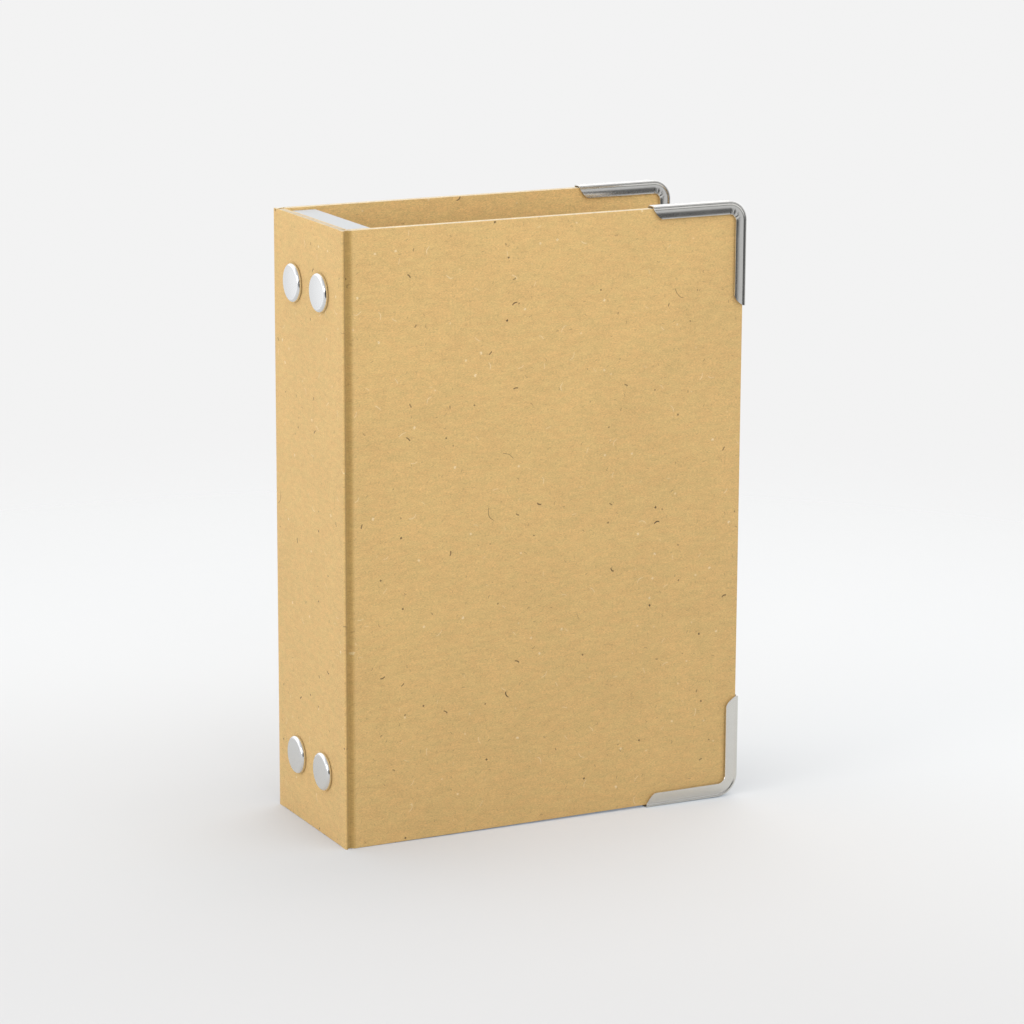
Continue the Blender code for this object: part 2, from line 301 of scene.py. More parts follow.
def new_group(name, inputs, outputs):
    """A shader node group with named sockets; returns it, what it is given and what it gives."""
    group = bpy.data.node_groups.new(name, "ShaderNodeTree")
    for socket, kind, value in inputs:
        made = group.interface.new_socket(socket, in_out="INPUT", socket_type=f"NodeSocket{kind}")
        if value is not None:
            made.default_value = value
    for socket, kind in outputs:
        group.interface.new_socket(socket, in_out="OUTPUT", socket_type=f"NodeSocket{kind}")
    given, gives = group.nodes.new("NodeGroupInput"), group.nodes.new("NodeGroupOutput")
    return group, given.outputs, gives.inputs


SURFACE = [("Colour", "Color"), ("Roughness", "Float"), ("Height", "Float")]
BROWN = (0.6, 0.4, 0.2, 1)


def give(group, out, *sockets):
    """Link a group's results to the outputs named in SURFACE."""
    for (name, _), socket in zip(SURFACE, sockets):
        group.links.new(socket, out[name])
    return group


def use_group(tree, group, inputs):
    return add_node(tree, "Group", inputs, node_tree=group)


def fibre_group():
    """Short loose fibres lying in a sheet: one faint curved line in some of the cells."""
    group, given, out = new_group(
        "paper_fibres",
        [("Sheet", "Vector", None), ("Cells per mm", "Float", 0.2), ("Length mm", "Float", 2.0),
         ("Width mm", "Float", 0.12), ("Share", "Float", 0.5), ("Bend", "Float", 0.35),
         ("Offset", "Float", 0.0)],
        [("Fibre", "Float")])
    shift = add_node(group, "CombineXYZ", {"X": given["Offset"], "Y": given["Offset"]})
    moved = vector_calc(group, "ADD", given["Sheet"], shift.outputs[0])
    wander = add_node(group, "TexNoise", {"Vector": moved, "Scale": 0.55, "Detail": 1.0},
                      noise_dimensions="2D").outputs["Color"]
    wander = vector_calc(group, "SUBTRACT", wander, (0.5, 0.5, 0.5))
    bent = vector_calc(group, "ADD", moved, scaled(group, wander, given["Bend"]))
    cell = add_node(group, "TexVoronoi", {"Vector": bent, "Scale": given["Cells per mm"],
                                          "Randomness": 0.8},
                    voronoi_dimensions="2D", feature="F1")
    offset = vector_calc(group, "SUBTRACT", bent, cell.outputs["Position"])
    chance = add_node(group, "SeparateColor", {0: cell.outputs["Color"]}).outputs
    turn = times(group, chance[0], 2 * pi)
    lay = add_node(group, "VectorRotate", {"Vector": offset, "Angle": turn},
                   rotation_type="Z_AXIS").outputs[0]
    lay = add_node(group, "SeparateXYZ", {0: lay}).outputs
    size = calc(group, "MULTIPLY_ADD", chance[1], 0.8, 0.3)
    half = times(group, times(group, given["Length mm"], size), 0.5)
    along = calc(group, "DIVIDE", calc(group, "ABSOLUTE", lay[0]), half)
    bow = times(group, calc(group, "POWER", along, 2.0),
                times(group, half, minus(group, chance[1], 0.5)))
    across = calc(group, "ABSOLUTE", minus(group, lay[1], bow))
    across = calc(group, "DIVIDE", across, given["Width mm"])
    end = smooth_range(group, along, 1.0, 0.75)
    edge = smooth_range(group, across, 0.75, 0.3)
    kept = calc(group, "LESS_THAN", chance[2], given["Share"])
    line = times(group, times(group, end, edge), kept)
    depth = calc(group, "MULTIPLY_ADD", chance[1], 0.6, 0.4)
    group.links.new(times(group, line, depth), out["Fibre"])
    return group


# Layers of fibres: cells per mm, length and width in mm, share of cells, bend, offset, strength
DARK_FIBRES = [(0.062, 3.6, 0.16, 0.16, 0.4, 3.1, 0.7), (0.11, 1.5, 0.28, 0.24, 0.3, 11.7, 1.0),
               (0.3, 0.9, 0.17, 0.22, 0.3, 27.3, 0.45), (0.13, 0.55, 0.4, 0.2, 0.1, 41.9, 1.0),
               (0.8, 0.9, 0.16, 0.5, 0.2, 5.3, 0.2)]
PALE_FIBRES = [(0.15, 2.0, 0.16, 0.4, 0.5, 63.2, 0.5), (0.2, 0.7, 0.45, 0.16, 0.1, 77.7, 0.55)]


def scatter_fibres(group, fibres, flat, amount, layers):
    """The strongest fibre of some layers at each point of a sheet, times an amount."""
    sockets = ("Cells per mm", "Length mm", "Width mm", "Share", "Bend", "Offset")
    top = 0.0
    for *values, strength in layers:
        layer = use_group(group, fibres, {"Sheet": flat, **dict(zip(sockets, values))})
        top = calc(group, "MAXIMUM", top, times(group, layer.outputs[0], strength))
    return times(group, top, amount, clamp=True)


def paper_group(fibres):
    """Uncoated paper or board: two tones in clouds, grain, dark and light fibres, a soft tooth."""
    group, given, out = new_group(
        "paper_surface",
        [("Colour", "Color", BROWN), ("Second colour", "Color", BROWN),
         ("Fibre colour", "Color", BROWN), ("Light fibre", "Color", BROWN),
         ("Grain", "Float", 1.0), ("Clouds", "Float", 1.0), ("Fibres", "Float", 1.0)],
        SURFACE)
    mm = object_mm(group)
    x, y, z = add_node(group, "SeparateXYZ", {0: mm}).outputs
    flat = add_node(group, "CombineXYZ", {"X": plus(group, x, y), "Y": z}).outputs[0]
    stretched = add_node(group, "Mapping", {"Vector": mm, "Scale": (1.0, 1.0, 3.0)}).outputs[0]
    wide = noise(group, mm, 0.05, 3.0)
    cloud = noise(group, stretched, 0.45, 4.0, Roughness=0.6)
    tone = noise(group, stretched, 0.2, 5.0, Roughness=0.66, Distortion=0.3)
    felt = noise(group, stretched, 1.9, 4.0, Roughness=0.72)
    fine = noise(group, mm, 5.5, 2.0)
    soft = plus(group, centred(group, wide, 0.12), centred(group, cloud, 0.34))
    soft = times(group, soft, given["Clouds"])
    tooth = plus(group, centred(group, felt, 0.95), centred(group, fine, 0.3))
    tooth = times(group, tooth, given["Grain"])
    shade = plus(group, plus(group, soft, tooth), 1.0)
    mixed = blend_colour(group, smooth_range(group, tone, 0.36, 0.64), given["Colour"],
                         given["Second colour"])
    base = scaled(group, mixed, shade)
    dark, pale = (scatter_fibres(group, fibres, flat, given["Fibres"], layers)
                  for layers in (DARK_FIBRES, PALE_FIBRES))
    tinted = blend_colour(group, pale, base, given["Light fibre"])
    tinted = blend_colour(group, dark, tinted, given["Fibre colour"])
    height = plus(group, times(group, tooth, 0.5), times(group, plus(group, dark, pale), 0.25))
    rough = plus(group, 0.84, centred(group, felt, 0.16), clamp=True)
    return give(group, out, tinted, rough, height)


def metal_group():
    """Plated or drawn metal: a slightly uneven polish, hairlines and faint handling marks."""
    group, given, out = new_group(
        "metal_polish",
        [("Colour", "Color", (0.7, 0.7, 0.68, 1)), ("Base roughness", "Float", 0.15),
         ("Hairlines", "Float", 0.3), ("Along", "Vector", (1.0, 1.0, 1.0)),
         ("Marks", "Float", 0.3)],
        SURFACE)
    mm = object_mm(group)
    run = vector_calc(group, "MULTIPLY", mm, given["Along"])
    hair = centred(group, noise(group, run, 6.0, 3.0), given["Hairlines"])
    haze = centred(group, noise(group, mm, 0.35, 4.0), given["Marks"], 0.45)
    spots = add_node(group, "TexVoronoi", {"Vector": mm, "Scale": 1.6}, feature="F1")
    spot = smooth_range(group, spots.outputs["Distance"], 0.10, 0.02)
    spot = times(group, spot, times(group, given["Marks"], 0.4))
    rough = plus(group, given["Base roughness"], times(group, plus(group, hair, haze), 0.35))
    rough = plus(group, rough, spot, clamp=True)
    dulled = plus(group, times(group, haze, 0.15), spot)
    colour = scaled(group, given["Colour"], minus(group, 1.0, dulled))
    height = plus(group, hair, times(group, haze, 0.5))
    return give(group, out, colour, rough, height)


# ------------ materials


def new_material(name, values):
    """A material with some of its shader's values set; returns it, its tree and its shader."""
    material = bpy.data.materials.new(name)
    material.use_nodes = True
    shader = material.node_tree.nodes["Principled BSDF"]
    for key, value in values.items():
        shader.inputs[key].default_value = value
    return material, material.node_tree, shader


def wire_surface(tree, shader, surface, bump, distance):
    """Link a surface group's colour, roughness and height to the shader."""
    tree.links.new(surface.outputs["Colour"], shader.inputs["Base Color"])
    tree.links.new(surface.outputs["Roughness"], shader.inputs["Roughness"])
    relief = add_node(tree, "Bump", {"Strength": bump, "Distance": distance,
                                     "Height": surface.outputs["Height"]})
    tree.links.new(relief.outputs[0], shader.inputs["Normal"])


def paper_material(name, paper, colours, grain=1.0, clouds=1.0, fibres=1.0, bump=0.35,
                   crease_shade=None):
    """Paper or board; the optional colour is painted shade that a crease attribute brings out."""
    material, tree, shader = new_material(name, {
        "Specular IOR Level": 0.25, "Sheen Weight": 0.1, "Sheen Roughness": 0.5})
    sockets = ("Colour", "Second colour", "Fibre colour", "Light fibre")
    values = {socket: (*colour, 1) for socket, colour in zip(sockets, colours)}
    values.update({"Grain": grain, "Clouds": clouds, "Fibres": fibres})
    surface = use_group(tree, paper, values)
    wire_surface(tree, shader, surface, bump, 0.12 * MM)
    # Painted shade: the crease attribute darkens the colour in and beside the pressed channel.
    if crease_shade:
        mask = add_node(tree, "Attribute", attribute_name="crease_shade").outputs["Fac"]
        shade = blend_colour(tree, mask, (1, 1, 1, 1), (*crease_shade, 1))
        tinted = blend_colour(tree, 1.0, surface.outputs["Colour"], shade, mode="MULTIPLY")
        tree.links.new(tinted, shader.inputs["Base Color"])
    return material


def metal_material(name, metal, colour, roughness, hairlines, along, marks, bump):
    material, tree, shader = new_material(name, {"Metallic": 1.0})
    surface = use_group(tree, metal, {
        "Colour": (*colour, 1), "Base roughness": roughness, "Hairlines": hairlines,
        "Along": along, "Marks": marks})
    wire_surface(tree, shader, surface, bump, 0.02 * MM)
    return material


def plastic_material(name, metal, colour):
    """White moulded plastic with a faint flow pattern."""
    material, tree, shader = new_material(name, {
        "Specular IOR Level": 0.25, "Subsurface Weight": 0.15,
        "Subsurface Radius": (1.2 * MM, 1.2 * MM, 1.4 * MM)})
    surface = use_group(tree, metal, {
        "Colour": (*colour, 1), "Base roughness": 0.55, "Hairlines": 0.1,
        "Along": (1.0, 0.25, 1.0), "Marks": 0.12})
    wire_surface(tree, shader, surface, 0.1, 0.05 * MM)
    return material


# Two paper tones, then the dark and the light fibres
KRAFT = ((0.632, 0.435, 0.179), (0.652, 0.426, 0.176), (0.12, 0.08, 0.04), (0.86, 0.72, 0.47))
# The inner kraft: the outer kraft's tones painted lighter, as light to make up for the shade
# inside the case.
LIGHTENED_LINING = ((0.735, 0.512, 0.213), (0.760, 0.502, 0.210), (0.16, 0.10, 0.05), (0.88, 0.75, 0.50))
CUT_EDGE = ((0.74, 0.64, 0.45), (0.68, 0.57, 0.39), (0.38, 0.29, 0.18), (0.88, 0.80, 0.63))
# Painted shade: the cut-edge colour made darker for the spine's head, to tone down the light on
# it.
SHADED_CUT_EDGE = ((0.60, 0.51, 0.36), (0.55, 0.45, 0.31), (0.34, 0.26, 0.17), (0.80, 0.72, 0.56))
CARD = ((0.23, 0.15, 0.085), (0.25, 0.155, 0.08), (0.06, 0.04, 0.02), (0.36, 0.27, 0.18))
PAGES = ((0.83, 0.79, 0.68), (0.84, 0.79, 0.66), (0.55, 0.48, 0.36), (0.95, 0.92, 0.84))


def make_materials():
    """All finishes, by the names that the makers of the pieces use."""
    paper = paper_group(fibre_group())
    metal = metal_group()
    even = (1.0, 1.0, 1.0)
    return {
        "kraft": paper_material("kraft_paper", paper, KRAFT),
        # Inner kraft, painted lighter to make up for the shade inside the case.
        "lining": paper_material("kraft_lining_painted_light", paper, LIGHTENED_LINING),
        # Outer kraft with painted shade darkening the pressed crease beside the spine.
        "crease": paper_material("kraft_crease_painted_shade", paper, KRAFT,
                                 crease_shade=(0.69, 0.67, 0.57)),
        # The spine's cut edges in the darker cut-edge colour: painted shade.
        "spine core": paper_material("spine_cut_edge_painted_shade", paper, SHADED_CUT_EDGE, grain=1.3, fibres=0.35,
                                     bump=0.6),
        "core": paper_material("board_cut_edge", paper, CUT_EDGE, grain=1.3, fibres=0.35,
                               bump=0.6),
        "card": paper_material("booklet_card", paper, CARD, fibres=0.6),
        "pages": paper_material("album_pages", paper, PAGES, grain=0.4, clouds=0.5, fibres=0.3,
                                bump=0.2),
        "nickel": metal_material("nickel_plate", metal, (0.84, 0.835, 0.81), 0.2, 0.25, even,
                                 0.35, 0.2),
        "rivet": metal_material("polished_nickel", metal, (0.82, 0.83, 0.84), 0.13, 0.1, even,
                                0.25, 0.1),
        "steel": metal_material("drawn_steel", metal, (0.62, 0.62, 0.63), 0.24, 0.8,
                                (3.0, 3.0, 0.08), 0.4, 0.4),
        "plastic": plastic_material("white_moulded_plastic", metal, (0.565, 0.58, 0.59)),
    }


# ------------ boards


def cover_sheet(name, side, low, high):
    """One layer of a cover between two depths, with its fore-edge corners rounded."""
    depths = sorted((mirrored(low, side), mirrored(high, side)))
    piece = add_block(name, place(PANEL_START, depths[0], 0), place(WIDTH, depths[1], HEIGHT))
    edit(piece)
    fore_edge = place(WIDTH, 0, 0).x
    pick("edges", lambda middle, along: abs(along.y) > 0.9 and middle.x > fore_edge - MM)
    bevel(BOARD_CORNER, 10)
    done()
    return piece


def scuff(piece, width, test):
    """Round some outer edges of a facing where it meets the cut edge of the board."""
    edit(piece)
    pick("edges", test)
    bevel(width, 3)
    done()


def scuff_cover(piece, side):
    """Round the outer rim of a cover's facing, except beside the crease."""
    outer = place(0, mirrored(0.0, side), 0).y
    start = place(PANEL_START, 0, 0).x
    scuff(piece, 0.12 * MM, lambda middle, along: abs(middle.y - outer) < 0.01 * MM
          and middle.x > start + 0.1 * MM)


def scuff_spine(piece):
    """Round the head and the foot of the spine's facing."""
    scuff(piece, 0.18 * MM, lambda middle, along: abs(along.y) > 0.9
          and abs(middle.x - SPINE_FACE) < 0.01 * MM)


def make_cover_boards(side, finishes):
    body = f"{side}_cover"
    outer = cover_sheet(f"{side}_kraft_outside", side, 0.0, FACING)
    scuff_cover(outer, side)
    core = cover_sheet(f"{side}_board_core", side, FACING, SHEET - FACING)
    inner = cover_sheet(f"{side}_kraft_inside", side, SHEET - FACING, SHEET)
    shade_panel_edge(outer, side)
    for piece in (outer, core, inner):
        soften(piece)
    # The outer facing carries the painted crease shade where it meets the crease.
    finish_piece(outer, finishes["crease"], body, f"{side}_outer_kraft")
    finish_piece(core, finishes["core"], body, f"{side}_board")
    finish_piece(inner, finishes["lining"], body, f"{side}_inner_kraft")


def make_spine_boards(finishes, rivet_spots):
    near, far = PANEL_START, THICKNESS - PANEL_START
    layers = [("spine_kraft_outside", 0.0, FACING, "kraft", "spine_outer_kraft"),
              ("spine_board_core", FACING, SHEET - FACING, "spine core", "spine_board"),
              ("spine_kraft_inside", SHEET - FACING, SHEET, "lining", "spine_inner_kraft")]
    for name, low, high, finish, node in layers:
        piece = add_block(name, place(low, near, 0), place(high, far, HEIGHT))
        if low == 0.0:
            scuff_spine(piece)
        drill(piece, [(spot, RIVET_HOLE, DRILL_LENGTH) for spot in rivet_spots], "x")
        soften(piece)
        finish_piece(piece, finishes[finish], "spine", node)


# ------------ hinge creases

FOLD_RADIUS = 0.4 * MM      # of the paper round the corner of the spine
CREASE_START = 0.42 * MM    # from the spine's face to the pressed channel
CREASE_DEPTH = 0.62 * MM
CREASE_WALL = 0.75 * MM     # thickness of the board under the channel
CREASE_ROWS = 140
CREASE_WAVE = 0.03 * MM     # how far a row of the channel strays from the last
CREASE_SEEDS = {"front": 5, "rear": 6}
CREASE_SHADE_FADE = 0.45 * MM    # how gradually the painted crease shade starts and ends
FADE_STRIPS = 4


def crease_floor(x):
    """Depth of the pressed channel under the cover's face at a distance from the spine's face."""
    share = min(max((x - CREASE_START) / (PANEL_START - CREASE_START), 0.0), 1.0)
    return CREASE_DEPTH * max(sin(pi * share ** 0.72), 0.0) ** 1.3


def crease_profile():
    """Outline of the pressed strip: down the spine, round the corner and through the channel."""
    corner = arc((FOLD_RADIUS, FOLD_RADIUS), FOLD_RADIUS, 180, 270, 6)
    steps = 16
    width = PANEL_START - CREASE_START
    channel = [CREASE_START + width * i / steps for i in range(1, steps + 1)]
    outside = [(0.0, PANEL_START), *corner, *((x, crease_floor(x)) for x in channel)]
    knee = CREASE_DEPTH + CREASE_WALL
    inside = [(PANEL_START, FACING), (PANEL_START - 0.2 * MM, knee - 0.35 * MM),
              (PANEL_START - 0.6 * MM, knee), (1.0 * MM, knee),
              (0.5 * MM, knee + 0.2 * MM), (FACING, knee + 0.6 * MM), (FACING, PANEL_START)]
    return outside + inside


def ease(value):
    """Turn a share of 0 to 1 into a soft start and a soft end."""
    value = min(max(value, 0.0), 1.0)
    return value * value * (3 - 2 * value)


def mark_crease_shade(piece, side):
    """Store how strongly each point beside the spine takes the crease's painted shade."""
    face = mirrored(0.0, side)
    values = []
    for vert in piece.data.vertices:
        x = vert.co.x - SPINE_FACE
        depth = abs(vert.co.y - FRONT_FACE - face)
        start = ease((x - 0.05 * MM) / CREASE_SHADE_FADE)
        end = ease((PANEL_START + CREASE_SHADE_FADE - x) / (2 * CREASE_SHADE_FADE))
        values.append(start * end if depth < CREASE_DEPTH + 0.05 * MM else 0.0)
    layer = piece.data.attributes.new("crease_shade", "FLOAT", "POINT")
    layer.data.foreach_set("value", values)


def shade_panel_edge(piece, side):
    """Cut a facing into narrow strips beside the crease and let the painted crease shade run out.
    """
    edit(piece)
    for i in range(1, FADE_STRIPS + 1):
        select_all()
        cut = place(PANEL_START + CREASE_SHADE_FADE * i / FADE_STRIPS, 0, 0)
        bpy.ops.mesh.bisect(plane_co=cut, plane_no=(1, 0, 0))
    done()
    mark_crease_shade(piece, side)


def raise_strip(piece, rows, wave=0.0, seed=1):
    """Extrude a strip's outline to full height in rows, each a little off the last."""
    draw = random.Random(seed)
    step = HEIGHT / rows
    edit(piece)
    select_all()
    for _ in range(rows):
        pull((0, 0, step))
    heal()
    mesh = bmesh.from_edit_mesh(piece.data)
    levels = {}
    for vert in mesh.verts:
        row = round((vert.co.z - BOARD_LOW) / step)
        shift = levels.setdefault(row, draw.uniform(-wave, wave))
        x = vert.co.x - SPINE_FACE
        if 0 < row < rows and 0.5 * MM < x < PANEL_START - 0.5 * MM:
            vert.co.y += shift
    bmesh.update_edit_mesh(piece.data)
    done()


def make_crease(side, finishes):
    """The pressed hinge beside the spine."""
    points = [place(x, mirrored(y, side), 0) for x, y in crease_profile()]
    strip = add_face(f"{side}_pressed_crease", points)
    raise_strip(strip, CREASE_ROWS, CREASE_WAVE, CREASE_SEEDS[side])
    # Painted shade for the channel, as on the facing beside it.
    mark_crease_shade(strip, side)
    soften(strip, 50)
    strip.data.materials.append(finishes["crease"])
    strip.data.materials.append(finishes["core"])
    for face in strip.data.polygons:
        face.material_index = 1 if abs(face.normal.z) > 0.9 else 0
    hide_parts(f"{side}_crease")
    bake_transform(strip)
    make_crease_lining(side, finishes)


def make_crease_lining(side, finishes):
    """The fold of kraft paper in the inner corner, drawn in towards the hinge."""
    tip = 1.45 * MM
    thin = 0.25 * MM
    start = PANEL_START
    outer = [(SHEET, start), (SHEET - 0.05 * MM, SHEET + 0.1 * MM), (tip + thin, tip + 0.12 * MM),
             (SHEET + 0.1 * MM, SHEET - 0.05 * MM), (start, SHEET)]
    inner = [(start, SHEET - thin), (SHEET - 0.1 * MM, SHEET - thin - 0.1 * MM),
             (tip, tip), (SHEET - thin - 0.1 * MM, SHEET - 0.1 * MM), (SHEET - thin, start)]
    points = [place(x, mirrored(y, side), 0) for x, y in outer + inner]
    strip = add_face(f"{side}_hinge_lining", points)
    raise_strip(strip, 4)
    soften(strip, 50)
    strip.data.materials.append(finishes["lining"])
    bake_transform(strip)


# ------------ metal corners

LEG = WIDTH - (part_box("front_top_corner")[0].x - SPINE_FACE)
CAP_OUT = 0.6 * MM          # metal beyond the edge of the board
CAP_PROUD = 0.5 * MM        # bead in front of the face of the board
CAP_BEAD = 0.42 * MM        # radius of that bead
CAP_METAL = 0.22 * MM
SECTION_FLANGE = 2.4        # width in mm of the flange that cap_section is written for
FLANGES = {"top": SECTION_FLANGE * MM, "bottom": 2.75 * MM}
BENDS = {"top": BOARD_CORNER, "bottom": 4.6 * MM}
BEND_STEPS = 24
END_CURVE = 2.7 * MM        # length over which the flange rounds off at the end of a leg
END_STEPS = 12
PLEAT = 0.07 * MM           # height of the gathers in an upper bend


def cap_section(flange):
    """Half of the folded metal's section as (outward, depth) points: bead, groove and flange."""
    rim = arc((CAP_OUT - CAP_BEAD, CAP_BEAD - CAP_PROUD), CAP_BEAD, 0, -90, 7)
    shape = [(0.05, -0.48), (-0.05, -0.43), (-0.14, -0.37), (-0.24, -0.345), (-0.34, -0.36),
             (-0.48, -0.41), (-0.72, -0.49), (-1.02, -0.555), (-1.38, -0.605), (-1.8, -0.63),
             (-2.24, -0.635), (-2.36, -0.61), (-2.4, -0.55)]
    wide = flange / SECTION_FLANGE
    return rim + [(outward * wide if outward < 0 else outward * MM, depth * MM)
                  for outward, depth in shape]


def cap_depth(over, flange):
    """Depth of the metal's outer surface at a distance inside the board's edge."""
    line = sorted((-outward, depth) for outward, depth in cap_section(flange))
    for (near, first), (far, second) in zip(line, line[1:]):
        if near <= over <= far and far > near:
            return first + (second - first) * (over - near) / (far - near)
    return line[-1][1]


def cap_outline(flange):
    """The whole closed section: outer face, inner face and the hollow that grips the board."""
    outside = cap_section(flange)
    web = CAP_OUT - CAP_METAL
    inside = [(-flange, -0.55 * MM + CAP_METAL), (-1.4 * MM, -0.34 * MM), (-0.6 * MM, -0.15 * MM),
              (web, -0.05 * MM)]
    half = inside[::-1] + outside[::-1]
    other = [(outward, SHEET - depth) for outward, depth in reversed(half)]
    return half + other


def make_corner(side, level, finishes):
    """A folded metal corner: its section is drawn along one leg, spun round and drawn on."""
    top = level == "top"
    sign = 1 if top else -1
    flange, bend = FLANGES[level], BENDS[level]

    def spot(x, depth, z):
        return place(x, mirrored(depth, side), z if top else HEIGHT - z)

    points = [spot(WIDTH - LEG, depth, HEIGHT + outward)
              for outward, depth in cap_outline(flange)]
    cap = add_face(f"{side}_{level}_metal_corner", points)
    end = [END_CURVE / END_STEPS] * END_STEPS
    straight = [(LEG - bend - END_CURVE) / 4] * 4
    edit(cap)
    select_all()
    for length in end + straight:
        pull((length, 0, 0))
    hub = spot(WIDTH - bend, 0, HEIGHT - bend)
    for _ in range(BEND_STEPS):
        pull((0, 0, 0))
        bpy.ops.transform.rotate(value=-sign * radians(90 / BEND_STEPS), orient_axis="Y",
                                 center_override=hub)
    for length in straight + end:
        pull((0, 0, -sign * length))
    heal()
    done()
    round_cap_ends(cap, side, sign, flange)
    if top:
        pleat_bend(cap, side, hub)
    edit(cap)
    heal()
    done()
    soften(cap, 40)
    finish_piece(cap, finishes["nickel"], f"{side}_cover", f"{side}_{level}_corner")


def round_cap_ends(cap, side, sign, flange):
    """Cut the flange back in a curve at the end of each leg."""
    edge_x = place(WIDTH, 0, 0).x
    edge_z = place(0, 0, HEIGHT if sign > 0 else 0).z
    face = place(0, mirrored(0, side), 0).y
    turn = -1 if side == "rear" else 1
    for vert in cap.data.vertices:
        over_x = edge_x - vert.co.x
        over_z = sign * (edge_z - vert.co.z)
        along, over = (LEG - over_x, over_z) if over_x > over_z else (LEG - over_z, over_x)
        if along > END_CURVE or over < 0:
            continue
        left = 1 - min(along / END_CURVE, 1.0)
        limit = max(flange * (1 - left ** 2.3), 0.03 * MM)
        if over <= limit:
            continue
        depth = (vert.co.y - face) * turn
        near = min(depth, SHEET - depth)
        outer = near < -0.26 * MM
        new = cap_depth(limit, flange) + (0.0 if outer else CAP_METAL)
        new = new if depth < SHEET / 2 else SHEET - new
        vert.co.y = face + turn * new
        if over_x > over_z:
            vert.co.z = edge_z - sign * limit
        else:
            vert.co.x = edge_x - limit


def pleat_bend(cap, side, hub):
    """Small gathers pressed into the inner half of an upper bend, on both faces."""
    face = place(0, mirrored(0, side), 0).y
    turn = -1 if side == "rear" else 1
    for vert in cap.data.vertices:
        east, up = vert.co.x - hub.x, vert.co.z - hub.z
        reach = sqrt(east * east + up * up)
        if east < 0 or up < 0 or reach > BOARD_CORNER - 0.5 * MM:
            continue
        depth = (vert.co.y - face) * turn
        out = -1 if depth < SHEET / 2 else 1
        angle = atan2(up, east)
        gather = sin(angle * 15) * sin(angle * 2) + 0.5 * sin(angle * 31 + 1)
        inner = min((BOARD_CORNER - 0.5 * MM - reach) / (1.2 * MM), 1.0)
        vert.co.y += turn * out * gather * inner * PLEAT


# ------------ rivets

# Radius, height and upright rim of the domed heads outside and of the low caps inside
HEAD = (4.4 * MM, 1.45 * MM, 0.5 * MM)
BACK = (3.9 * MM, 1.1 * MM, 0.3 * MM)


def dome(radius, height, rim):
    """A pill-shaped cap as (radius, height) points: gentle crown, round shoulder, upright rim."""
    shoulder = radius / 5
    flat = radius - shoulder
    drop = 0.17 * height
    crown = [(flat * i / 8, height - drop * (i / 8) ** 2) for i in range(9)]
    tall = height - drop - rim
    turn = [radians(80 * (1 - i / 10)) for i in range(11)]
    return crown + [(flat + shoulder * cos(t), rim + tall * sin(t)) for t in turn]


def spin_round(name, profile, centre, steps=64):
    """Turn a profile of (radius, x) points, which starts and ends on the axis, about X."""
    points = [centre + Vector((x, 0, radius)) for radius, x in profile]
    piece = add_face(name, points)
    edit(piece)
    bpy.ops.mesh.delete(type="ONLY_FACE")
    first, last = points[0], points[-1]
    pick("edges", lambda middle, along: (middle - (first + last) / 2).length < SAME)
    bpy.ops.mesh.delete(type="EDGE")
    select_all()
    bpy.ops.mesh.spin(steps=steps, angle=2 * pi, center=centre, axis=(1, 0, 0))
    heal()
    done()
    return piece


def make_rivets(spots, finishes):
    """Double-cap rivets: a domed head with its post outside, a low cap over the post inside."""
    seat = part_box("top_rod_holder")[0].x - SPINE_FACE + HOLDER_PLATE
    for place_name, centre in spots.items():
        head = [(r, -h) for r, h in dome(*HEAD)]
        head += [(4.42 * MM, -0.26 * MM), (4.33 * MM, -0.12 * MM), (4.15 * MM, -0.03 * MM),
                 (3.9 * MM, 0.0), (1.15 * MM, 0.0), (1.15 * MM, seat + 0.5 * MM),
                 (0.95 * MM, seat + 0.7 * MM), (0, seat + 0.7 * MM)]
        cap = spin_round(f"rivet_cap_{place_name}", head, centre)
        soften(cap, 40)
        finish_piece(cap, finishes["rivet"], "spine", f"rivet_head_{place_name}")
        back = [(r, seat + h) for r, h in dome(*BACK)]
        back += [(BACK[0], seat + 0.15 * MM), (3.8 * MM, seat), (1.2 * MM, seat),
                 (1.2 * MM, seat + 0.75 * MM), (0, seat + 0.75 * MM)]
        washer = spin_round(f"rivet_washer_{place_name}", back, centre, 48)
        soften(washer, 40)
        finish_piece(washer, finishes["rivet"], "spine", f"rivet_back_{place_name}")


# ------------ rod holders and rods

HOLDER_PLATE = 1.0 * MM     # the plate that the rivets clamp
HOLDER_BLOCK = 6.4 * MM     # height of the block that holds the rods
ROD_HOLE = 0.85 * MM        # radius
ROD_HOLE_DEPTHS = {"top": 5.4 * MM, "bottom": 2.0 * MM}


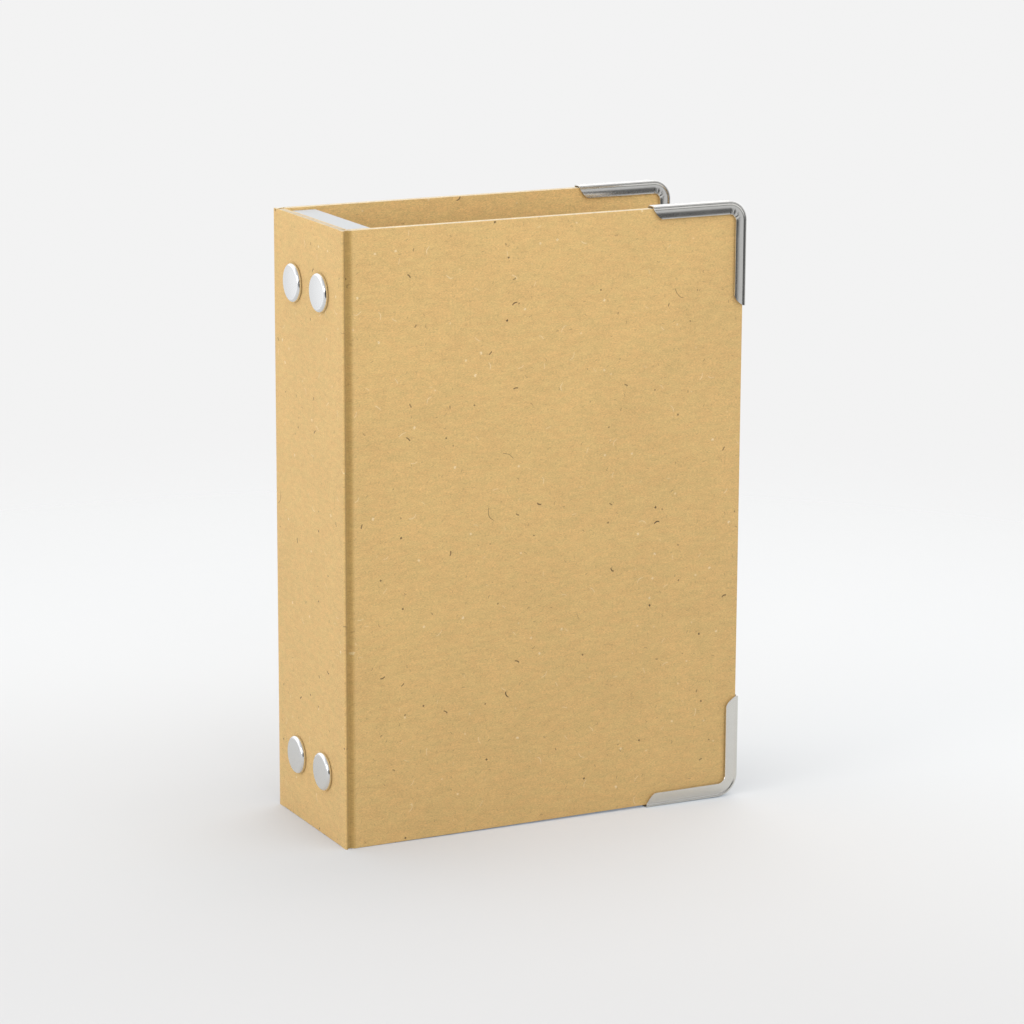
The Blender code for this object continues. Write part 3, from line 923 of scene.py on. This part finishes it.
def make_holder(level, spots, rods, finishes):
    """A moulded block with blind rod holes over a thin back plate that the rivets clamp."""
    node = f"{level}_rod_holder"
    low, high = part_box(node)
    up = 1 if level == "top" else -1
    inner = low.x + HOLDER_PLATE
    crown = high.z if level == "top" else low.z
    shelf = crown - up * HOLDER_BLOCK
    foot = crown - up * (high.z - low.z)
    piece = add_block(f"{level}_holder", Vector((low.x, low.y, min(crown, shelf))),
                      Vector((high.x, high.y, max(crown, shelf))))
    edit(piece)
    select_all()
    bpy.ops.mesh.bisect(plane_co=(inner, 0, 0), plane_no=(1, 0, 0))
    pick("faces", lambda middle, normal: abs(middle.z - shelf) < SAME and middle.x < inner)
    pull((0, 0, foot - shelf))
    heal()
    pick("edges", lambda middle, along: abs(along.y) > 0.9 and abs(middle.x - inner) < SAME
         and abs(middle.z - shelf) < SAME)
    bevel(0.9 * MM, 5)
    pick("edges", lambda middle, along: abs(along.x) > 0.9 and abs(middle.z - foot) < SAME)
    bevel(2.5 * MM, 6)
    done()
    drill(piece, [(spot, RIVET_HOLE, DRILL_LENGTH) for spot in spots], "x")
    depth = ROD_HOLE_DEPTHS[level]
    bars = [(Vector((rod.x, rod.y, shelf + up * (depth - MM) / 2)), ROD_HOLE, depth + MM)
            for rod in rods]
    drill(piece, bars, "z")
    round_edges(piece, 0.22 * MM, 3)
    soften(piece, 40)
    finish_piece(piece, finishes["plastic"], "spine", node)


def make_rods(finishes):
    """Drawn steel rods with rounded ends; returns their middles."""
    middles = []
    for number in range(1, 6):
        low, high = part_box(f"rod_{number}")
        middle = (low + high) / 2
        middles.append(middle)
        rod = add_rod_shape(f"hanging_rod_{number}", middle, (high.x - low.x) / 2,
                            high.z - low.z, corners=40)
        edit(rod)
        pick("edges", lambda spot, along: abs(along.z) < 0.1
             and abs(abs(spot.z - middle.z) - (high.z - low.z) / 2) < SAME)
        bevel(0.35 * MM, 4)
        done()
        soften(rod, 40)
        finish_piece(rod, finishes["steel"], f"rod_{number}", f"rod_{number}")
    return middles


# ------------ booklets

BOOKLET_REACH = 87 * MM     # from the rod to the fore-edge
FOLD_TAPER = 7.2 * MM       # length over which the sheets close behind the rod
LEAVES = 9                  # folded sheets in a booklet
CARD_RADIUS, CARD_HALF, CARD_THICK = 2.3 * MM, 1.8 * MM, 0.25 * MM
# Radius round the rod and half thickness at the fore-edge of the innermost and outermost leaf
INNER_RADIUS, OUTER_RADIUS = 0.87 * MM, 2.0 * MM
INNER_HALF, OUTER_HALF = 0.2 * MM, 1.5 * MM
LEAF_SET_BACK = 0.5 * MM    # of the leaves behind the card's edges
BOOKLET_CORNER = 3 * MM


def fold_line(radius, half, reach):
    """A folded sheet seen from above: one leg, the fold round the rod, the other leg."""
    fold = arc((0, 0), radius, 90, 270, 14)
    taper = []
    for i in range(1, 5):
        share = i / 4
        closed = (1 - cos(share * pi)) / 2
        taper.append((FOLD_TAPER * share, radius + (half - radius) * closed))
    near = [(reach, half), *reversed(taper)]
    far = [*((x, -y) for x, y in taper), (reach, -half)]
    return near + fold + far


def folded_sheet(name, rod, radius, half, thick, reach, low, high):
    """A sheet of some thickness, folded round a rod and standing between two heights."""
    outside = fold_line(radius, half, reach)
    inside = fold_line(radius - thick, half - thick, reach)
    points = [Vector((rod.x + x, rod.y + y, low)) for x, y in outside + inside[::-1]]
    piece = add_face(name, points)
    edit(piece)
    select_all()
    pull((0, 0, high - low))
    heal()
    done()
    return piece


def make_booklet(number, rod, finishes):
    """A card cover and its folded sheets, hung on a rod by the middle of the fold."""
    body = f"booklet_{number}"
    low, high = (corner.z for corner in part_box(f"{body}_card"))
    card = folded_sheet(f"{body}_cover", rod, CARD_RADIUS, CARD_HALF, CARD_THICK,
                        BOOKLET_REACH, low, high)
    round_booklet_corners(card, rod)
    soften(card, 40)
    finish_piece(card, finishes["card"], body, f"{body}_card")
    draw = random.Random(40 + number)
    thick = (OUTER_RADIUS - INNER_RADIUS) / LEAVES * 0.86
    sheets = []
    for leaf in range(LEAVES):
        share = (leaf + 1) / LEAVES
        radius = INNER_RADIUS + (OUTER_RADIUS - INNER_RADIUS) * share
        half = INNER_HALF + (OUTER_HALF - INNER_HALF) * share
        reach = BOOKLET_REACH - LEAF_SET_BACK * (2 - share) - draw.uniform(0, 0.15 * MM)
        trim = LEAF_SET_BACK + draw.uniform(0, 0.12 * MM)
        sheets.append(folded_sheet("leaf", rod, radius, half, thick, reach, low + trim,
                                   high - trim))
    deselect()
    for sheet in sheets:
        sheet.select_set(True)
    bpy.context.view_layer.objects.active = sheets[0]
    bpy.ops.object.join()
    pages = bpy.context.object
    pages.name = pages.data.name = f"{body}_leaves"
    round_booklet_corners(pages, rod)
    soften(pages, 40)
    finish_piece(pages, finishes["pages"], body, f"{body}_pages")


def round_booklet_corners(piece, rod):
    """Round the fore-edge corners of folded sheets."""
    edit(piece)
    pick("edges", lambda middle, along: abs(along.y) > 0.9
         and middle.x > rod.x + BOOKLET_REACH - 2 * MM)
    bevel(BOOKLET_CORNER, 6)
    heal()
    done()


# ------------ stage, light and camera

PALE = 0.895                # the studio's background, as the camera sees it
FLOOR_RADIUS = 0.9
FLOOR_GAP = 0.01 * MM       # keeps the floor just under what stands on it
FLOOR_FADE = (0.45, 0.16)   # distances at which the floor is gone and still whole
FLOOR_COLOUR = (0.58, 0.58, 0.57, 1)
# Seen by the camera: the floor's colour, a painted glow in front and behind, a painted foot shadow
FLOOR_SEEN = (0.63, 0.60, 0.56, 1)
FRONT_GLOW = (0.045, 0.085, 0.14, 1)
BACK_GLOW = (0.18, 0.226, 0.28, 1)
PAINTED_FOOT_SHADOW = (0.04, 0.085, 0.14, 1)
# The room's light on surfaces, and how bright metal mirrors it, with what each side adds
LIGHT, LIGHT_LEFT = 0.91, 0.22
WALLS, WALLS_LEFT, WALLS_BEHIND, WALLS_ABOVE = 0.55, 0.25, 0.3, 0.4
DARK_PATCH = 0.07


def make_stage():
    """A pale floor that touches the spine's foot and the metal corners, and fades out far off."""
    deselect()
    foot = place(0, 0, 0)
    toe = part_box("front_bottom_corner")[0]
    slope = (foot.z - toe.z) / (toe.x - foot.x)
    bpy.ops.mesh.primitive_circle_add(vertices=96, radius=FLOOR_RADIUS, fill_type="NGON")
    floor = settle("studio_floor")
    for vert in floor.data.vertices:
        vert.co.z = toe.z - slope * (vert.co.x - toe.x) - FLOOR_GAP
    material, tree, shader = new_material("studio_paper", {
        "Roughness": 0.9, "Specular IOR Level": 0.1, "Emission Strength": 1.0})
    spot = add_node(tree, "TexCoord").outputs["Object"]
    x, y, _ = add_node(tree, "SeparateXYZ", {0: spot}).outputs
    # Painted light: the floor glows for the camera, dimmer in front and brighter behind.
    back = smooth_range(tree, plus(tree, x, y), -0.2, 0.15)
    glow = blend_colour(tree, back, FRONT_GLOW, BACK_GLOW)
    # Painted shadow: the glow dims round a spot by the spine's foot.
    near = place(-12 * MM, 8 * MM, 0)
    gap = vector_calc(tree, "LENGTH", vector_calc(tree, "SUBTRACT", spot, (near.x, near.y, 0)))
    glow = blend_colour(tree, smooth_range(tree, gap, 0.07, 0.01), glow, PAINTED_FOOT_SHADOW)
    seen = add_node(tree, "LightPath").outputs["Is Camera Ray"]
    sheet = blend_colour(tree, seen, FLOOR_COLOUR, FLOOR_SEEN)
    tree.links.new(sheet, shader.inputs["Base Color"])
    glow = blend_colour(tree, seen, (0, 0, 0, 1), glow)
    tree.links.new(glow, shader.inputs["Emission Color"])
    middle = vector_calc(tree, "LENGTH", spot)
    tree.links.new(smooth_range(tree, middle, *FLOOR_FADE), shader.inputs["Alpha"])
    floor.data.materials.append(material)


MIDDLE = Vector((0, 0, 0.07))


def add_softbox(name, position, size, power, mirrored_too=True):
    """An oval area light that faces the middle of the album."""
    deselect()
    bpy.ops.object.light_add(type="AREA", location=position)
    lamp = bpy.context.object
    lamp.name = name
    lamp.data.shape = "ELLIPSE"
    lamp.data.size, lamp.data.size_y = size
    lamp.data.energy = power
    lamp.visible_glossy = mirrored_too
    aim = MIDDLE - Vector(position)
    lamp.rotation_mode = "QUATERNION"
    lamp.rotation_quaternion = aim.to_track_quat("-Z", "Y")


def make_world():
    """Even light from all round; metal mirrors paler walls behind and a dark patch in front."""
    world = bpy.data.worlds.new("studio")
    bpy.context.scene.world = world
    world.use_nodes = True
    tree = world.node_tree
    room = tree.nodes["Background"]
    look = add_node(tree, "TexCoord").outputs["Generated"]
    x, y, z = add_node(tree, "SeparateXYZ", {0: look}).outputs
    left = smooth_range(tree, x, -0.1, -0.9)
    behind = smooth_range(tree, y, -0.1, 0.6)
    even = calc(tree, "MULTIPLY_ADD", left, LIGHT_LEFT, LIGHT)
    above = times(tree, behind, smooth_range(tree, z, 0.0, 0.2))
    walls = calc(tree, "MULTIPLY_ADD", left, WALLS_LEFT, WALLS)
    walls = calc(tree, "MULTIPLY_ADD", behind, WALLS_BEHIND, walls)
    walls = calc(tree, "MULTIPLY_ADD", above, WALLS_ABOVE, walls)
    across = calc(tree, "DIVIDE", plus(tree, x, 0.1), 0.85)
    height = calc(tree, "DIVIDE", plus(tree, z, 0.03), 0.42)
    oval = add_node(tree, "CombineXYZ", {"X": across, "Y": height}).outputs[0]
    dark = times(tree, smooth_range(tree, vector_calc(tree, "LENGTH", oval), 1.0, 0.75),
                 smooth_range(tree, y, -0.2, -0.5))
    walls = calc(tree, "MULTIPLY_ADD", dark, minus(tree, DARK_PATCH, walls), walls)
    rays = add_node(tree, "LightPath").outputs
    strength = calc(tree, "MULTIPLY_ADD", rays["Is Glossy Ray"], minus(tree, walls, even), even)
    tree.links.new(strength, room.inputs["Strength"])
    room.inputs["Color"].default_value = (1, 1, 1, 1)
    seen = add_node(tree, "Background", {"Color": (PALE, PALE, PALE, 1), "Strength": 1.0})
    choice = add_node(tree, "MixShader", {
        0: rays["Is Camera Ray"], 1: room.outputs[0], 2: seen.outputs[0]})
    tree.links.new(choice.outputs[0], tree.nodes["World Output"].inputs["Surface"])


def make_light():
    make_world()
    add_softbox("left_softbox", (-1.5, -0.35, 0.5), (0.8, 0.6), 4.8)
    add_softbox("front_softbox", (-0.15, -1.05, 0.8), (1.1, 0.5), 1.7, False)
    add_softbox("high_softbox", (0.25, -0.6, 1.3), (1.0, 0.6), 2.1, False)
    add_softbox("back_softbox", (0.3, 0.42, 1.4), (0.7, 0.7), 2.5)


CAMERA_PLACE = (-324.7 * MM, -733.1 * MM, 265.7 * MM)   # in case coordinates
CAMERA_TURN = (26.53, 13.19, 0.23)  # yaw, downward pitch and roll in degrees
FOCAL_LENGTH = 131.74


def make_camera():
    """The camera stands to the left in front of the album and looks a little down on it."""
    data = bpy.data.cameras.new("camera")
    camera = bpy.data.objects.new("camera", data)
    bpy.context.collection.objects.link(camera)
    data.sensor_width = 36.0
    data.lens = FOCAL_LENGTH
    data.clip_start = 0.01
    yaw, pitch, roll = (radians(angle) for angle in CAMERA_TURN)
    look = Vector((sin(yaw) * cos(pitch), cos(yaw) * cos(pitch), -sin(pitch)))
    camera.location = place(*CAMERA_PLACE)
    turn = look.to_track_quat("-Z", "Y").to_matrix().to_4x4()
    camera.matrix_world = (Matrix.Translation(camera.location) @ turn
                           @ Matrix.Rotation(roll, 4, "Z"))
    bpy.context.scene.camera = camera
    bpy.context.scene.view_settings.view_transform = "Standard"


# ------------ the album


def find_rivets():
    """The middles of the rivet heads on the spine's face, by level and side."""
    spots = {}
    for level in ("top", "bottom"):
        for side in ("front", "rear"):
            low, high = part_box(f"rivet_head_{level}_{side}")
            middle = (low + high) / 2
            spots[f"{level}_{side}"] = Vector((SPINE_FACE, middle.y, middle.z))
    return spots


def main():
    make_camera()
    finishes = make_materials()
    rivet_spots = find_rivets()
    make_spine_boards(finishes, list(rivet_spots.values()))
    for side in ("front", "rear"):
        make_cover_boards(side, finishes)
        make_crease(side, finishes)
        for level in ("top", "bottom"):
            make_corner(side, level, finishes)
    make_rivets(rivet_spots, finishes)
    rods = make_rods(finishes)
    for level in ("top", "bottom"):
        spots = [spot for name, spot in rivet_spots.items() if name.startswith(level)]
        make_holder(level, spots, rods, finishes)
    for number, rod in enumerate(rods, start=1):
        make_booklet(number, rod, finishes)
    make_stage()
    make_light()


main()
deselect()
